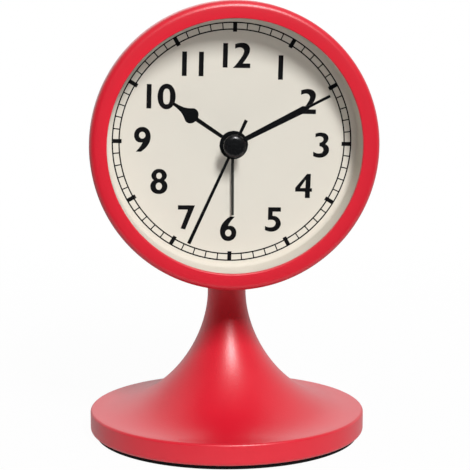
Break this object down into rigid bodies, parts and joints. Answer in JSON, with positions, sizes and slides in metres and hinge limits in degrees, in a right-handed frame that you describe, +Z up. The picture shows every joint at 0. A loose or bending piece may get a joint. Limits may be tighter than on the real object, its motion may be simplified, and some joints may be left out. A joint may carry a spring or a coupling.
{
  "type": "analog alarm clock",
  "caption": "Round-headed bedside alarm clock on a flared trumpet pedestal, with a domed lens, a recessed dial, four hands, a geared quartz movement and setting knobs at the back.",
  "frame": {"origin": "centre of the foot pad's underside, under the stem axis", "axes": "+Z up the stem, the dial faces -Y, +X to the right seen from the front"},
  "size_m": [0.0996, 0.0994, 0.159],
  "materials": {
    "red_shell": "satin red lacquer",
    "clear_lens": "clear, polished",
    "cream_dial": "matt cream lacquer",
    "black_hand": "satin black lacquer",
    "grey_hand": "satin grey lacquer",
    "black_plastic": "moulded, fine grain",
    "foot_rubber": "matt",
    "ballast_iron": "as cast",
    "steel": "turned",
    "brass": "turned",
    "white_plastic": "moulded",
    "board": "coated board",
    "copper_wire": "enamelled copper",
    "cell_jacket": "printed jacket left plain"
  },
  "bodies": {
    "case": {"pedestal": "red_shell", "bezel": "red_shell", "case_bowl": "red_shell", "lens": "clear_lens", "dial": "cream_dial", "base_plate": "black_plastic", "movement_carrier": "black_plastic", "back_cover": "black_plastic", "sounder": "black_plastic", "timing_chip": "black_plastic", "foot_pad": "foot_rubber", "ballast_weight": "ballast_iron", "base_screws": "steel", "stem_screw": "steel", "stem_saddle": "steel", "back_cover_screws": "steel", "movement_screws": "steel", "coil_core": "steel", "stator": "steel", "quartz_crystal": "steel", "positive_contact": "brass", "negative_contact": "brass", "alarm_contact": "brass", "front_plate": "white_plastic", "middle_plate": "white_plastic", "movement_housing": "white_plastic", "coil_bobbin": "white_plastic", "circuit_board": "board", "coil_winding": "copper_wire", "battery": "cell_jacket"},
    "minute_work": {"cannon_pinion": "brass", "clutch_spring": "steel", "minute_hand": "black_hand"},
    "minute_wheel": {"minute_wheel": "white_plastic"},
    "hour_work": {"hour_wheel": "white_plastic", "hour_hand": "black_hand"},
    "time_setting": {"time_set_arbor": "steel", "time_set_knob": "black_plastic"},
    "second_work": {"second_wheel": "white_plastic", "second_hand": "black_hand", "hand_cap": "black_hand"},
    "third_wheel": {"third_wheel": "white_plastic"},
    "centre_wheel": {"centre_wheel": "white_plastic"},
    "fifth_wheel": {"fifth_wheel": "white_plastic"},
    "rotor": {"rotor": "steel"},
    "alarm_work": {"alarm_wheel": "white_plastic", "alarm_hand": "grey_hand"},
    "alarm_idler": {"alarm_idler": "white_plastic"},
    "alarm_setting": {"alarm_set_arbor": "steel", "alarm_set_knob": "black_plastic"},
    "alarm_switch": {"alarm_switch": "white_plastic"},
    "battery_door": {"battery_door": "black_plastic"}
  },
  "joints": [
    {"name": "minute_turn", "type": "hinge", "parent": "case", "child": "minute_work", "pos_m": [0, 0, 0.1092], "axis": [0, 1, 0], "continuous": true},
    {"name": "minute_wheel_turn", "type": "hinge", "parent": "case", "child": "minute_wheel", "pos_m": [-0.01039, 0, 0.1152], "axis": [0, 1, 0], "continuous": true},
    {"name": "hour_turn", "type": "hinge", "parent": "case", "child": "hour_work", "pos_m": [0, 0, 0.1092], "axis": [0, 1, 0], "continuous": true},
    {"name": "time_set_turn", "type": "hinge", "parent": "case", "child": "time_setting", "pos_m": [-0.01521, 0, 0.12553], "axis": [0, 1, 0], "continuous": true},
    {"name": "second_turn", "type": "hinge", "parent": "case", "child": "second_work", "pos_m": [0, 0, 0.1092], "axis": [0, 1, 0], "continuous": true},
    {"name": "third_turn", "type": "hinge", "parent": "case", "child": "third_wheel", "pos_m": [-0.00731, 0, 0.09876], "axis": [0, 1, 0], "continuous": true},
    {"name": "centre_turn", "type": "hinge", "parent": "case", "child": "centre_wheel", "pos_m": [0, 0, 0.1092], "axis": [0, 1, 0], "continuous": true},
    {"name": "fifth_turn", "type": "hinge", "parent": "case", "child": "fifth_wheel", "pos_m": [0.01182, 0, 0.11237], "axis": [0, 1, 0], "continuous": true},
    {"name": "rotor_turn", "type": "hinge", "parent": "case", "child": "rotor", "pos_m": [0.02169, 0, 0.10878], "axis": [0, 1, 0], "continuous": true},
    {"name": "alarm_turn", "type": "hinge", "parent": "case", "child": "alarm_work", "pos_m": [0, 0, 0.1092], "axis": [0, 1, 0], "continuous": true},
    {"name": "alarm_idler_turn", "type": "hinge", "parent": "case", "child": "alarm_idler", "pos_m": [0.01337, 0, 0.11724], "axis": [0, 1, 0], "continuous": true},
    {"name": "alarm_set_turn", "type": "hinge", "parent": "case", "child": "alarm_setting", "pos_m": [0.01526, 0, 0.12542], "axis": [0, 1, 0], "continuous": true},
    {"name": "alarm_switch_slide", "type": "slide", "parent": "case", "child": "alarm_switch", "axis": [1, 0, 0], "range_m": [0, 0.004]},
    {"name": "battery_door_lift", "type": "slide", "parent": "case", "child": "battery_door", "axis": [0, 1, 0], "range_m": [0, 0.03]}
  ],
  "couplings": [
    {"joint": "minute_wheel_turn", "follows": "minute_turn", "ratio": -0.33333},
    {"joint": "hour_turn", "follows": "minute_turn", "ratio": 0.083333},
    {"joint": "time_set_turn", "follows": "minute_turn", "ratio": 1.25},
    {"joint": "third_turn", "follows": "second_turn", "ratio": -0.125},
    {"joint": "centre_turn", "follows": "second_turn", "ratio": 0.016667},
    {"joint": "fifth_turn", "follows": "second_turn", "ratio": -5},
    {"joint": "rotor_turn", "follows": "second_turn", "ratio": 30},
    {"joint": "alarm_idler_turn", "follows": "alarm_turn", "ratio": -1.6},
    {"joint": "alarm_set_turn", "follows": "alarm_turn", "ratio": 4}
  ]
}
